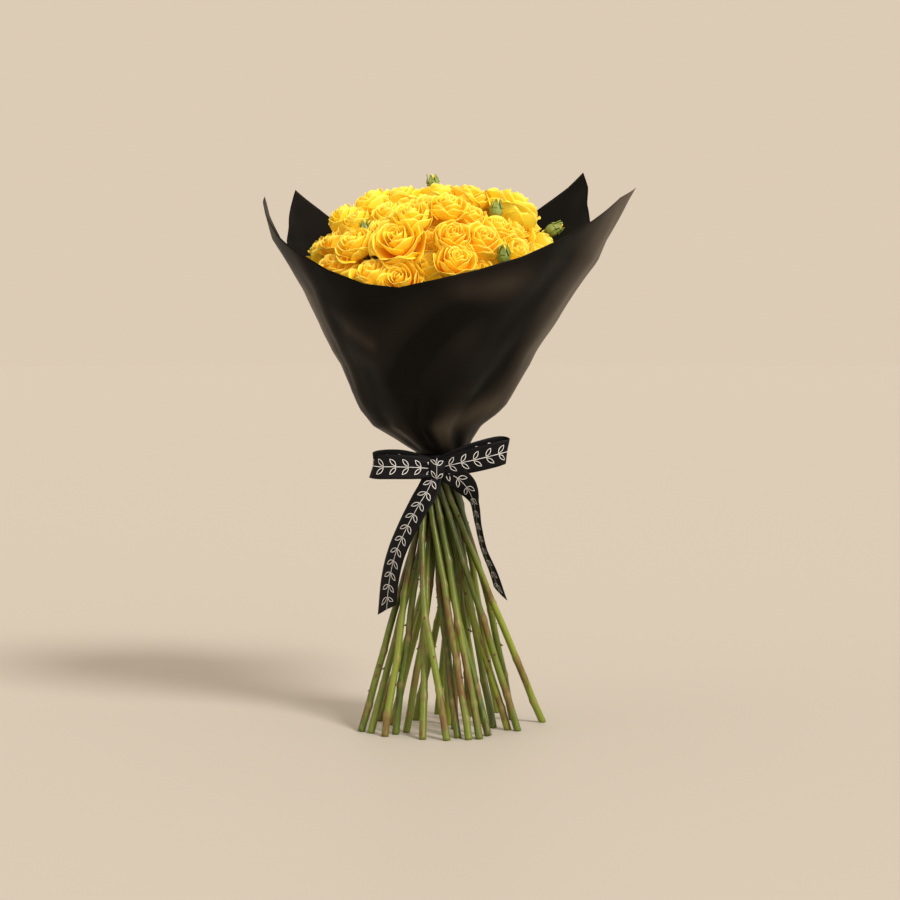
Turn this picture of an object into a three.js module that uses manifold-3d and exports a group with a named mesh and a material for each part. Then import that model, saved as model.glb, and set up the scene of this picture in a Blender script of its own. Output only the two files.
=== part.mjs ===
// A bunch of yellow spray roses, hand-tied in a spiral so that it stands on its own cut ends, wrapped in two
// sheets of dark film and tied with a patterned ribbon in a bow. Every spray is one stem that forks into two
// blooms, and some carry a closed bud as well.
//
// Millimetres, +Z up, the front faces -Y. The origin is on the surface that the bunch stands on, under the
// middle of its outline.

import * as THREE from "three";
import { mergeVertices } from "three/addons/utils/BufferGeometryUtils.js";
import Module from "manifold-3d";

const wasm = await Module();
wasm.setup();

const at = (x, y, z) => new THREE.Vector3(x, y, z);
const turn = THREE.MathUtils.degToRad;
const mix = THREE.MathUtils.lerp;

// ---------------------------------------------------------------- driving dimensions

const TIE = at(-5.5, 0, 264); // middle of the neck, where twine, paper and ribbon hold the stems
const FORK_HEIGHT = 392; // where each stem forks
const STEM_RADIUS_FOOT = 3.5;
const STEM_RADIUS_TIE = 2.8;
const STEM_RADIUS_FORK = 2.3;
const STEM_SIDES = 6;
// Heights at which the stems bend, with how far their middles may be from the neck's axis.
const STEM_LEVELS = [[0, 200], [140, 90], [250, 17.2], [279, 16.8], [307, 41], [FORK_HEIGHT, 99]];
const STEM_GAP = 0.4;
const SQUEEZE = 0.006; // share of the way to the axis that the twine draws the stems in one round
const STEM_SWAY = 6; // how far the legs stray from a straight line
const SPIRAL_BELOW = 105; // degrees that the stems turn between the tie and their cut ends
const SPIRAL_ABOVE = -45; // and between the tie and the forks

const DOME = { middle: at(-17, 0, 450), halfWidth: 114, halfHeight: 84 }; // where the bloom centres lie
const SEAT_GAP = 0.45; // between a bloom and its calyx
const BLOOM_GAP = 0.7; // between blooms of two sprays
const TOUCH = 0.82; // blooms of one spray press together: their distance over the sum of their radii

const SHEET_THICKNESS = 0.8;
const RIBBON_WIDTH = 25;
const RIBBON_THICKNESS = 0.8;

// Cut ends on the surface: [x, y].
const FEET = [
  [-86, -28], [-76, -37], [-69, 35], [-61, -55], [-51, -43], [-41, -32], [-24, -72], [-10, 76], [0, -78],
  [11, -64], [21, -74], [32, -70], [2, 11], [41, -52], [47, -6], [35, 20], [53, 86], [61, -18], [71, -24],
  [98, 28], [22, 62], [-57, 10], [67, 42], [8, -14], [-32, 40],
];

// Sprays seen from the front, two blooms each: [x, height, diameter, how far it faces up from 0 to 1].
const FRONT_SPRAYS = [
  [[-126, 481, 33, 0.2], [-106, 498, 30, 0.3]],
  [[-106, 468, 38, 0.4], [-87, 489, 34, 0.3]],
  [[-71, 464, 39, 0.6], [-38, 457, 34, 0.3]],
  [[-49, 485, 42, 0.05], [-36, 507, 34, 0.2]],
  [[-17, 467, 37, 0.45], [-12, 494, 30, 0.2]],
  [[6, 470, 34, 0.4], [4, 493, 32, 0.1]],
  [[31, 467, 36, 0.15], [31, 488, 35, 0.2]],
  [[-83, 508, 34, 0.2], [-103, 516, 31, 0.1]],
  [[-80, 528, 34, 0.0], [-44, 534, 36, 0.0]],
  [[-59, 502, 31, 0.1], [-59, 519, 34, 0.0]],
  [[-20, 520, 41, 0.0], [5, 517, 32, 0.15]],
  [[27, 516, 38, 0.0], [14, 501, 27, 0.1]],
  [[23, 535, 35, 0.0], [-8, 538, 35, 0.0]],
  [[48, 502, 30, 0.2], [61, 484, 38, 0.0]],
  [[68, 524, 46, 0.0], [75, 497, 34, 0.0]],
  [[94, 494, 34, 0.0], [78, 474, 32, 0.3]],
];
// Rows of sprays round the back of the dome: [height, blooms, from degrees, to degrees, diameter]. The
// degrees turn from the right-hand side over the back to the left.
const BACK_ROWS = [
  [470, 8, 14, 166, 40],
  [504, 6, 24, 158, 39],
  [528, 4, 34, 146, 40],
];
// Closed buds: [spray, x, y, height of the bud's middle, tilt of its tip in degrees: to the right, to the back].
const BUDS = [
  [6, 48, -96, 476, 4, -14],
  [13, 44, -50, 518, 6, 0],
  [15, 108, 8, 501, 60, 0],
  [12, -14, 16, 549, -8, 0],
  [9, -76, -50, 528, -14, -6],
  [18, 24, 84, 520, 8, 26],
  [22, -58, 84, 516, -10, 30],
];
const BUD_LENGTH = 21;
const BUD_RADIUS = 6.2;
const BUD_ROOM = 8.6; // radius that the layout keeps free round a bud
const SETTLE_ROUNDS = 500;

// ---------------------------------------------------------------- geometry helpers

// A closed skin over rings of equal count, from the lowest to the highest, each anticlockwise from above. An
// end is a flat fan, or a fan round its own point.
function loft(rings, startPoint, endPoint) {
  const sides = rings[0].length;
  const points = rings.flat();
  const faces = [];
  for (let ring = 0; ring + 1 < rings.length; ring++) {
    for (let side = 0; side < sides; side++) {
      const a = ring * sides + side;
      const b = ring * sides + ((side + 1) % sides);
      faces.push(a, b, b + sides, a, b + sides, a + sides);
    }
  }
  const last = (rings.length - 1) * sides;
  const fan = (first, point, up) => {
    const hub = point ? points.push(point) - 1 : first;
    for (let side = point ? 0 : 1; side < (point ? sides : sides - 1); side++) {
      const pair = [first + side, first + ((side + 1) % sides)];
      faces.push(hub, ...(up ? pair : pair.reverse()));
    }
  };
  fan(0, startPoint, false);
  fan(last, endPoint, true);
  return geometryOf(points, faces);
}

// A thin closed sheet over a grid of points, rows by columns, with the same triangles on both faces.
function shell(grid, thickness) {
  const rows = grid.length;
  const columns = grid[0].length;
  const normal = (r, c) => {
    const up = grid[Math.min(r + 1, rows - 1)][c].clone().sub(grid[Math.max(r - 1, 0)][c]);
    const across = grid[r][Math.min(c + 1, columns - 1)].clone().sub(grid[r][Math.max(c - 1, 0)]);
    return across.cross(up).normalize();
  };
  const points = [];
  for (const side of [0.5, -0.5]) {
    grid.forEach((row, r) =>
      row.forEach((point, c) => points.push(point.clone().addScaledVector(normal(r, c), side * thickness))),
    );
  }
  const back = rows * columns;
  const faces = [];
  for (let r = 0; r + 1 < rows; r++) {
    for (let c = 0; c + 1 < columns; c++) {
      const [a, b, d, e] = [r * columns + c, r * columns + c + 1, (r + 1) * columns + c, (r + 1) * columns + c + 1];
      faces.push(a, b, e, a, e, d);
      faces.push(back + a, back + e, back + b, back + a, back + d, back + e);
    }
  }
  const rim = [];
  for (let c = 0; c < columns - 1; c++) rim.push(c);
  for (let r = 0; r < rows - 1; r++) rim.push(r * columns + columns - 1);
  for (let c = columns - 1; c > 0; c--) rim.push((rows - 1) * columns + c);
  for (let r = rows - 1; r > 0; r--) rim.push(r * columns);
  rim.forEach((p, i) => {
    const q = rim[(i + 1) % rim.length];
    faces.push(p, back + p, back + q, p, back + q, q);
  });
  return geometryOf(points, faces);
}

function geometryOf(points, faces) {
  const geometry = new THREE.BufferGeometry();
  geometry.setAttribute("position", new THREE.Float32BufferAttribute(points.flatMap((p) => p.toArray()), 3));
  geometry.setIndex(faces);
  return geometry;
}

function solidOf(geometry) {
  const bare = geometry.clone();
  bare.deleteAttribute("normal");
  bare.deleteAttribute("uv");
  const merged = mergeVertices(bare, 1e-4);
  const { array } = merged.attributes.position;
  const triVerts = new Uint32Array(merged.index.array);
  return new wasm.Manifold(new wasm.Mesh({ numProp: 3, vertProperties: array, triVerts }));
}

// One geometry from closed ones that run into each other. Pockets of air shut in where they press together
// are filled.
function fuse(geometries) {
  const whole = geometries.map(solidOf).reduce((sum, piece) => sum.add(piece));
  const bodies = whole.simplify(0.06).decompose();
  const mesh = wasm.Manifold.compose(bodies.filter((body) => body.volume() > 1)).getMesh();
  const fused = new THREE.BufferGeometry();
  fused.setAttribute("position", new THREE.BufferAttribute(mesh.vertProperties, 3));
  fused.setIndex(new THREE.BufferAttribute(mesh.triVerts, 1));
  return fused;
}

// Value at a key in rows of [key, value, ...], straight between rows.
function lookUp(rows, key, column = 1) {
  const next = rows.findIndex((row) => row[0] >= key);
  if (next === 0) return rows[0][column];
  if (next < 0) return rows.at(-1)[column];
  const share = (key - rows[next - 1][0]) / (rows[next][0] - rows[next - 1][0]);
  return mix(rows[next - 1][column], rows[next][column], share);
}

// A fixed stand-in for chance, from 0 to 1.
const chance = (seed) => {
  const value = Math.sin(seed * 12.9898 + 4.1) * 43758.5453;
  return value - Math.floor(value);
};

// Two directions that make a right-handed frame with an axis.
function sides(axis) {
  const first = at(1, 0.05, 0);
  first.addScaledVector(axis, -first.dot(axis)).normalize();
  return [first, axis.clone().cross(first)];
}

const ring = (middle, axis, radius, count) => {
  const [u, v] = sides(axis);
  return Array.from({ length: count }, (_, i) => {
    const angle = (2 * Math.PI * i) / count;
    return middle.clone().addScaledVector(u, radius * Math.cos(angle)).addScaledVector(v, radius * Math.sin(angle));
  });
};

// ---------------------------------------------------------------- where the blooms sit

// The blooms lie on the dome's surface, facing out of it.
function onDome(point) {
  const { middle, halfWidth, halfHeight } = DOME;
  const out = point.clone().sub(middle);
  return out.multiplyScalar(1 / Math.hypot(out.x / halfWidth, out.y / halfWidth, out.z / halfHeight)).add(middle);
}

const heightOnDome = (z) => (z - DOME.middle.z) / DOME.halfHeight;

// Blooms and buds: those seen from the front keep to their places and give way in depth, the rows round the
// back stay on the dome.
function layOutHeads() {
  const { middle, halfWidth, halfHeight } = DOME;
  const reach = (x, z) => halfWidth * Math.sqrt(Math.max(0.003, 1 - ((x - middle.x) / halfWidth) ** 2 - heightOnDome(z) ** 2));
  const heads = [];
  FRONT_SPRAYS.forEach((pair, spray) =>
    pair.forEach(([x, z, diameter, lift]) =>
      heads.push({ spray, home: at(x, middle.y - reach(x, z), z), wanted: diameter / 2, lift }),
    ),
  );
  let count = 0;
  for (const [z, number, from, to, diameter] of BACK_ROWS) {
    for (let i = 0; i < number; i++) {
      const angle = turn(mix(from, to, i / (number - 1)));
      const out = halfWidth * Math.sqrt(1 - heightOnDome(z) ** 2);
      const home = at(middle.x + out * Math.cos(angle), middle.y + out * Math.sin(angle), z);
      const spray = FRONT_SPRAYS.length + Math.floor(count / 2);
      heads.push({ spray, home, wanted: (diameter / 2) * (0.94 + 0.1 * chance(count)), lift: 0.25, back: true });
      count += 1;
    }
  }
  for (const [spray, x, y, z, right, back] of BUDS) {
    const axis = at(Math.tan(turn(right)), Math.tan(turn(back)), 1).normalize();
    heads.push({ spray, home: at(x, y, z), wanted: BUD_ROOM, bud: true, axis });
  }
  settle(heads);
  heads.forEach((head) => {
    if (head.bud) return;
    head.partner = heads.find((other) => other !== head && other.spray === head.spray).centre;
    head.axis = head.centre.clone().sub(middle);
    head.axis.set(head.axis.x, head.axis.y, head.axis.z * (halfWidth / halfHeight) ** 2).normalize();
    head.axis.multiplyScalar(1 - head.lift).addScaledVector(at(0, 0, 1), head.lift).normalize();
  });
  return heads;
}

// Pushes the heads apart until none is nearer to another than their sizes need, while the two blooms of a
// spray stay pressed together, then gives each bloom the room that is left.
function settle(heads) {
  const together = (a, b) => a.spray === b.spray && !a.bud && !b.bud;
  const needed = (a, b) => (together(a, b) ? TOUCH * (a.wanted + b.wanted) : a.wanted + b.wanted + BLOOM_GAP);
  heads.forEach((head) => (head.centre = head.home.clone()));
  for (let round = 0; round < SETTLE_ROUNDS; round++) {
    const ease = round < 0.7 * SETTLE_ROUNDS ? 1 : 0;
    heads.forEach((head) => {
      head.centre.x = mix(head.centre.x, head.home.x, 0.12 * ease);
      head.centre.z = mix(head.centre.z, head.home.z, 0.12 * ease);
      head.centre.y = mix(head.centre.y, head.home.y, 0.06 * ease);
      if (head.back) head.centre.copy(onDome(head.centre));
      head.centre.z = Math.max(head.centre.z, DOME.middle.z + 4);
    });
    heads.forEach((a, i) =>
      heads.slice(i + 1).forEach((b) => {
        const apart = b.centre.clone().sub(a.centre);
        const short = needed(a, b) - apart.length();
        if (short > 0 || together(a, b)) {
          apart.setLength(0.3 * short);
          a.centre.sub(apart);
          b.centre.add(apart);
        }
      }),
    );
  }
  heads.forEach((a) => {
    const room = heads
      .filter((b) => b !== a && !together(a, b))
      .map((b) => ((a.centre.distanceTo(b.centre) - BLOOM_GAP) * a.wanted) / (a.wanted + b.wanted));
    a.radius = Math.min(...room, 1.06 * a.wanted);
  });
}

// ---------------------------------------------------------------- blooms

// Half a section through a bloom, in bloom radii, from the seat over three layers of petals to the heart:
// [radius, height, how far the petals' edges drop, how far one edge stands out over the next].
const BLOOM_SECTION = [
  [0.4, -0.86, 0, 0],
  [0.82, -0.48, 0, 0.015],
  [0.97, 0.1, 0.17, 0.05],
  [0.66, -0.24, 0, 0.02],
  [0.66, 0.3, 0.13, 0.045],
  [0.4, -0.02, 0, 0.02],
  [0.37, 0.42, 0.1, 0.035],
];
const BLOOM_SEAT = -0.98;
const BLOOM_HEART = 0.1;
// Each petal has three points along its rim: an edge that stands out over its neighbour, the tip, and an edge
// that is tucked in. [share of the petal's angle, side of the overlap]
const PETAL_POINTS = [[0, 1], [0.46, 0.1], [0.93, -1]];
const LARGE_BLOOM = 21.8;

const LAYER_TURN = 0.45; // how far each layer is turned on the one outside it, in petals

// Starts a ring at the point that lets its points face those of the ring below with the least twist. A point is
// [turn in petals, side].
function facingRing(points, below, petals) {
  const started = (first) =>
    points.map((_, i) => {
      const [turned, side] = points.at((i + first) % points.length);
      return [turned + petals * (Math.floor((i + first) / points.length) - 1), side];
    });
  const twist = (ring) => ring.reduce((sum, [turned], i) => sum + (turned - below[i][0]) ** 2, 0);
  return points.map((_, first) => started(first)).sort((a, b) => twist(a) - twist(b))[0];
}

function bloomGeometry({ centre, axis, radius, partner }) {
  const petals = radius > LARGE_BLOOM ? 5 : 4;
  const [u, v] = sides(axis);
  const facing = partner.clone().sub(centre);
  // An outer petal is pressed against the partner a little beside its tip.
  const beside = 0.34 + 0.24 * chance(centre.x + 5);
  const spin = Math.atan2(facing.dot(v), facing.dot(u)) - ((beside + LAYER_TURN) * 2 * Math.PI) / petals;
  const place = (r, angle, height) =>
    centre
      .clone()
      .addScaledVector(u, radius * r * Math.cos(angle))
      .addScaledVector(v, radius * r * Math.sin(angle))
      .addScaledVector(axis, radius * height);
  let below;
  const rings = BLOOM_SECTION.map(([r, height, drop, step], row) => {
    const points = [];
    for (let petal = 0; petal < petals; petal++) {
      for (const [share, side] of PETAL_POINTS) points.push([petal + share + Math.floor(row / 2) * LAYER_TURN, side]);
    }
    below = below ? facingRing(points, below, petals) : points;
    return below.map(([turned, side]) =>
      place(r + step * side, spin + (turned * 2 * Math.PI) / petals, height - drop * Math.abs(side)),
    );
  });
  return loft(rings, place(0, 0, BLOOM_SEAT), place(0, 0, BLOOM_HEART));
}

// ---------------------------------------------------------------- stems

// Gives every spray the cut end that lets its stem run straightest, by trading ends while that shortens the way.
function matchFeet(heads) {
  const wanted = heads.map((head) => {
    const angle = Math.atan2(head.y - TIE.y, head.x - TIE.x) + turn(SPIRAL_BELOW - SPIRAL_ABOVE);
    const reach = 1.3 * Math.hypot(head.x - TIE.x, head.y - TIE.y);
    return at(4 + reach * Math.cos(angle), reach * Math.sin(angle), 0);
  });
  const feet = FEET.map(([x, y]) => at(x, y, 0));
  const cost = (i, j) => wanted[i].distanceToSquared(feet[j]);
  for (let traded = true; traded; ) {
    traded = false;
    for (let i = 0; i < feet.length; i++) {
      for (let j = i + 1; j < feet.length; j++) {
        if (cost(i, j) + cost(j, i) < cost(i, i) + cost(j, j) - 1e-6) {
          [feet[i], feet[j]] = [feet[j], feet[i]];
          traded = true;
        }
      }
    }
  }
  return feet;
}

const stemRadius = (z) =>
  lookUp([[0, STEM_RADIUS_FOOT], [TIE.z, STEM_RADIUS_TIE], [FORK_HEIGHT, STEM_RADIUS_FORK]], z);

// The stems' middles at every level, bent clear of each other and held within reach of the neck's axis.
function bundle(forks) {
  const feet = matchFeet(forks);
  const held = forks.map((fork) => {
    const out = fork.clone().sub(TIE).setZ(0).multiplyScalar(0.26);
    return out.applyAxisAngle(at(0, 0, 1), turn(-SPIRAL_ABOVE)).add(TIE);
  });
  const stems = forks.map((fork, i) =>
    STEM_LEVELS.map(([z], level) => {
      const [from, to, share] =
        z <= TIE.z ? [feet[i], held[i], z / TIE.z] : [held[i], fork, (z - TIE.z) / (FORK_HEIGHT - TIE.z)];
      const point = from.clone().lerp(to, share);
      if (z > 0 && z < 200) point.x += STEM_SWAY * (chance(i * 7 + level) - 0.5);
      return point;
    }),
  );
  const last = STEM_LEVELS.length - 1;
  const spread = (stem, level, apart, weight) => level > 0 && level < last && stem[level].addScaledVector(apart, weight);
  for (let round = 0; round < SETTLE_ROUNDS; round++) {
    for (let level = 0; level < last; level++) {
      for (let share = 0; share < 0.99; share += 0.1) {
        const points = stems.map((stem) => stem[level].clone().lerp(stem[level + 1], share));
        for (let i = 0; i < stems.length; i++) {
          for (let j = i + 1; j < stems.length; j++) {
            const apart = points[j].clone().sub(points[i]).setZ(0);
            const short = (2 * stemRadius(points[i].z)) / Math.cos(Math.PI / STEM_SIDES) + STEM_GAP - apart.length();
            if (short <= 0) continue;
            apart.setLength(0.35 * short);
            for (const [stem, side] of [[stems[i], -1], [stems[j], 1]]) {
              spread(stem, level, apart, side * (1 - share));
              spread(stem, level + 1, apart, side * share);
            }
          }
        }
      }
    }
    for (const stem of stems) {
      stem.forEach((point, level) => {
        const [z, most] = STEM_LEVELS[level];
        const out = point.clone().sub(TIE).setZ(0);
        if (Math.abs(z - TIE.z) < 20) out.multiplyScalar(1 - SQUEEZE);
        point.set(TIE.x, TIE.y, z).add(out.clampLength(0, most));
      });
    }
  }
  return stems;
}

const stemRings = (stem) =>
  stem.map((point) => ring(point, at(0, 0, 1), stemRadius(point.z) / Math.cos(Math.PI / STEM_SIDES), STEM_SIDES));

// A stalk from a fork to a seat, swelling into the hip under a flower.
function stalkRings(fork, seat, axis, count, from = 0) {
  const hip = seat.clone().addScaledVector(axis, -7);
  const bend = seat.clone().addScaledVector(axis, -0.4 * seat.distanceTo(fork));
  const route = new THREE.QuadraticBezierCurve3(fork, bend, hip);
  const shares = [0, 0.5, 1].filter((share) => share >= from);
  return shares.map((share) => ring(route.getPoint(share), route.getTangent(share), mix(1.9, 1.5, share), count));
}

// A stalk with its calyx under a bloom, in line with the stem or branching out of it.
function bloomStalk(fork, { centre, axis, radius }, stem = []) {
  const count = stem.length ? STEM_SIDES : 5;
  const seat = centre.clone().addScaledVector(axis, BLOOM_SEAT * radius - SEAT_GAP);
  const slope = (0.98 - 0.86) / 0.4;
  const reach = 0.36 * radius;
  const rim = seat.clone().addScaledVector(axis, slope * reach - 0.5);
  const rings = [...stem, ...stalkRings(fork, seat, axis, count, stem.length ? 0.5 : 0), ring(rim, axis, reach, count)];
  return loft(rings, undefined, seat);
}

function budStalk(fork, { centre, axis }) {
  const seat = centre.clone().addScaledVector(axis, -BUD_LENGTH / 2);
  const section = [[0.12, 0.68], [0.38, 1], [0.66, 0.7]];
  const cup = section.map(([share, r]) =>
    ring(seat.clone().addScaledVector(axis, share * BUD_LENGTH), axis, r * BUD_RADIUS, 5),
  );
  const tip = seat.clone().addScaledVector(axis, BUD_LENGTH);
  return loft([...stalkRings(fork, seat, axis, 5), ...cup], undefined, tip);
}

// ---------------------------------------------------------------- film

// The funnel that both sheets follow: [height, middle x, middle y, half width, half depth].
const FUNNEL = [
  [250, -5.5, 0, 22.7, 22.7],
  [277, -5.5, 0, 22.7, 22.7],
  [291, -12.5, 0, 35.5, 33],
  [305, -20, -1, 48.5, 47],
  [320, -18.5, -1, 59.5, 60],
  [345, -15.5, -2, 72, 80],
  [365, -13.5, -2, 83, 92],
  [380, -15, -3, 92, 101],
  [400, -14, -3, 103.5, 111],
  [440, -11.5, -4, 125.5, 128],
  [470, -8.5, -5, 147, 142],
  [490, -8.5, -6, 158, 148],
  [515, -5.5, -6, 167.5, 154],
  [530, -3, -6, 172, 156],
  [545, 0, -6, 177.5, 158],
  [570, 1, -6, 180, 160],
];
// The sheets' top edges: [degrees from the front, to the right, height]. Their corners stand up as points.
// Where the sheets overlap they have the same degrees, so that their folds agree.
const FRONT_RIM = [
  [-130, 372], [-118, 425], [-108, 478], [-95, 533], [-80, 519], [-62, 483], [-46, 459], [-31, 446], [-15, 442.5],
  [0, 450], [15, 459], [30, 471], [46, 489], [61, 507], [75, 530], [88, 541], [98, 500], [108, 450], [120, 392],
];
const BACK_RIM = [
  [75, 436], [88, 456], [98, 476], [108, 496], [120, 527], [129, 561], [140, 534], [151, 508], [162, 480],
  [174, 455], [185, 484], [196, 512], [207, 539], [219, 506], [230, 524], [242, 542], [252, 504], [265, 470],
  [280, 440],
];
const SHEET_LEVELS = [252, 277, 291, 305, 325, 352];
const SHEET_SHARES = [0.2, 0.4, 0.6, 0.8, 1]; // of the way from the last level to the rim

// A point of the funnel. Soft folds run up it, and a sheet that lies further out stands off a little more as
// the funnel widens.
function onFunnel(degrees, z, layer) {
  const [middleX, middleY, halfWidth, halfDepth] = [1, 2, 3, 4].map((column) => lookUp(FUNNEL, z, column));
  const open = THREE.MathUtils.smoothstep(z, 285, 420);
  const fold = 2.6 * open * Math.sin(turn(4 * degrees + 35)) + 1.4 * open * Math.sin(turn(7 * degrees + z));
  const off = layer * (1.25 + 0.042 * (halfWidth - FUNNEL[0][3])) + fold;
  const angle = turn(degrees);
  return at(middleX + (halfWidth + off) * Math.sin(angle), middleY - (halfDepth + off) * Math.cos(angle), z);
}

function sheetGeometry(rim, layer) {
  const last = SHEET_LEVELS.at(-1);
  const grid = [
    ...SHEET_LEVELS.map((z) => rim.map(([degrees]) => onFunnel(degrees, z, layer))),
    ...SHEET_SHARES.map((share) => rim.map(([degrees, top]) => onFunnel(degrees, mix(last, top, share), layer))),
  ];
  return shell(grid, SHEET_THICKNESS);
}

// ---------------------------------------------------------------- twine and ribbon

function hoop(innerRadius, thickness, low, high, segments) {
  const outer = innerRadius + thickness;
  const outline = [[innerRadius, low], [outer, low], [outer, high], [innerRadius, high], [innerRadius, low]];
  const geometry = new THREE.LatheGeometry(outline.map(([r, z]) => new THREE.Vector2(r, z)), segments);
  return geometry.rotateX(Math.PI / 2).translate(TIE.x, TIE.y, 0);
}

// A length of ribbon along a route of rows [x, y, z, lean]. Its width is upright, or level where it hangs, and lean
// turns it about the route, in degrees.
function ribbonLength(route, steps, hangs = false) {
  const curve = new THREE.CatmullRomCurve3(route.map(([x, y, z]) => at(x, y, z)), false, "centripetal");
  const grid = [[], []];
  for (let i = 0; i <= steps; i++) {
    const t = i / steps;
    const key = t * (route.length - 1);
    const rows = route.map((row, n) => [n, row[3]]);
    const along = curve.getTangent(t);
    const width = hangs ? at(-along.z, 0, along.x) : at(0, 0, 1).addScaledVector(along, -along.z);
    width.normalize().applyAxisAngle(along, turn(lookUp(rows, key)));
    [-0.5, 0.5].forEach((side, row) =>
      grid[row].push(curve.getPoint(t).addScaledVector(width, side * RIBBON_WIDTH)),
    );
  }
  return shell(grid, RIBBON_THICKNESS);
}

const BAND_RADIUS = 24.9;
const KNOT = at(-10, -30.2, 263);
const LOOP_LEFT = [
  [-10, -31, 263, 0], [-30, -37, 265, 4], [-52, -40, 266, 6], [-69, -37, 266, 10], [-74, -31, 267, 12],
  [-68, -26, 269, 8], [-48, -27, 270, 0], [-28, -29, 267, 0], [-10, -29.5, 264, 0],
];
const LOOP_RIGHT = [
  [-10, -31, 264, 0], [10, -37, 269, 4], [32, -40, 274, 6], [52, -38, 279, 8], [59, -32, 281, 10],
  [54, -26, 283, 6], [34, -28, 279, 0], [12, -30, 272, 0], [-10, -29.5, 264, 0],
];
const TAIL_LEFT = [
  [-12, -30, 262, 0], [-18, -34, 244, 20], [-28.5, -39, 226, 35], [-41, -41, 202, 42], [-50.5, -39, 179, 45],
  [-56.5, -35, 153, 45], [-59.5, -32, 123, 45],
];
const TAIL_RIGHT = [
  [-8, -31, 262, 0], [8, -35, 256, 8], [19.5, -36, 246, 30], [27, -36, 231, 70], [31, -36, 208, 76],
  [36.5, -37, 184, 76], [46, -38, 161, 72], [53, -38, 140, 70],
];

// ---------------------------------------------------------------- the bunch

const PETAL = new THREE.MeshStandardMaterial({ color: 0xf7b500, roughness: 0.55, metalness: 0 });
const GREEN = new THREE.MeshStandardMaterial({ color: 0x6f8a2e, roughness: 0.5, metalness: 0 });
const FILM = new THREE.MeshStandardMaterial({ color: 0x241c17, roughness: 0.45, metalness: 0 });
const RIBBON = new THREE.MeshStandardMaterial({ color: 0x0c0c10, roughness: 0.5, metalness: 0 });
const TWINE = new THREE.MeshStandardMaterial({ color: 0x9c8b62, roughness: 0.9, metalness: 0 });

const bunch = new THREE.Group();
function add(name, geometry, material) {
  const mesh = new THREE.Mesh(geometry, material);
  mesh.name = name;
  bunch.add(mesh);
}

const heads = layOutHeads();
const sprays = Array.from({ length: FEET.length }, (_, spray) => heads.filter((head) => head.spray === spray));
// The forks lie on the lines from the neck to the middle of each spray.
const forks = sprays.map(([first, second]) => {
  const out = first.centre.clone().add(second.centre).multiplyScalar(0.5).sub(TIE);
  return out.multiplyScalar((FORK_HEIGHT - TIE.z) / out.z).add(TIE);
});
const stems = bundle(forks);

sprays.forEach((spray, i) => {
  const number = String(i + 1).padStart(2, "0");
  const fork = stems[i].at(-1).clone();
  const within = fork.clone().setZ(FORK_HEIGHT - 4);
  const [first, ...others] = spray;
  const green = [
    bloomStalk(fork, first, stemRings(stems[i])),
    ...others.map((head) => (head.bud ? budStalk(within, head) : bloomStalk(within, head))),
  ];
  add(`spray_${number}_stem`, fuse(green), GREEN);
  add(`spray_${number}_blooms`, fuse(spray.filter((head) => !head.bud).map(bloomGeometry)), PETAL);
});

add("binding_twine", hoop(20.6, 1.2, TIE.z - 5, TIE.z + 5, 20), TWINE);
add("film_back", sheetGeometry(BACK_RIM, 0), FILM);
add("film_front", sheetGeometry(FRONT_RIM, 1), FILM);

const knot = new THREE.SphereGeometry(1, 8, 5).scale(9, 5.4, 10).translate(KNOT.x, KNOT.y, KNOT.z);
const band = hoop(BAND_RADIUS, RIBBON_THICKNESS, TIE.z - RIBBON_WIDTH / 2, TIE.z + RIBBON_WIDTH / 2, 20);
add(
  "ribbon_bow",
  fuse([
    band,
    knot,
    ribbonLength(LOOP_LEFT, 12),
    ribbonLength(LOOP_RIGHT, 12),
    ribbonLength(TAIL_LEFT, 10, true),
    ribbonLength(TAIL_RIGHT, 12, true),
  ]),
  RIBBON,
);

export default bunch;
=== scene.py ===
"""The looks of a hand-tied bunch of yellow spray roses in dark film with a patterned ribbon bow.

One section for each kind of piece, in the order of assembly: the plan of the heads, stems with their calyxes
and buds, blooms, twine, film, ribbon, then floor, light and camera. Lengths are in millimetres until a mesh
is made.
"""

import math
import random

import bpy
import numpy as np
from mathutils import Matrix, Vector, noise


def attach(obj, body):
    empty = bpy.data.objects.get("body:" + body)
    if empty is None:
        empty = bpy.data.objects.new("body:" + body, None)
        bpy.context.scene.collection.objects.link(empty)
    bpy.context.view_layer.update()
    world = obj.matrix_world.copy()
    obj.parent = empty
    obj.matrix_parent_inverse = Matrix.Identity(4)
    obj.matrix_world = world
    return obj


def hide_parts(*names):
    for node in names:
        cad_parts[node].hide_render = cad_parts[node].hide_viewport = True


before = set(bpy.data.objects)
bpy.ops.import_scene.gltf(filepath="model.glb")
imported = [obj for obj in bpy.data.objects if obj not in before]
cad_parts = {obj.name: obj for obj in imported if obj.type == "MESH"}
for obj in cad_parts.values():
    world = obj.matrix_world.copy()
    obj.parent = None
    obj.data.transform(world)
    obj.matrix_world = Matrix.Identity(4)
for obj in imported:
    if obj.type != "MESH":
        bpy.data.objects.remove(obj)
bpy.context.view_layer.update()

# ------------------------------------------------------------------ where the heads sit
# Roses in a hand-tied bunch are set one by one round a dome, with closed buds between them. The front blooms
# give way in depth until none cuts another, rows round the back stay on the dome, and the two blooms of one
# spray stay pressed together. Places, sizes and tilts are those of the solids.


def unit(v):
    v = np.asarray(v, float)
    return v / np.linalg.norm(v)


def mix(a, b, t):
    return a + (b - a) * t


def chance(seed):
    value = math.sin(seed * 12.9898 + 4.1) * 43758.5453
    return value - math.floor(value)


DOME = np.array([-17.0, 0.0, 450.0])
DOME_WIDTH, DOME_HEIGHT = 114.0, 84.0
SEAT_GAP, BLOOM_GAP, TOUCH, BLOOM_SEAT = 0.45, 0.7, 0.82, -0.98
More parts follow.
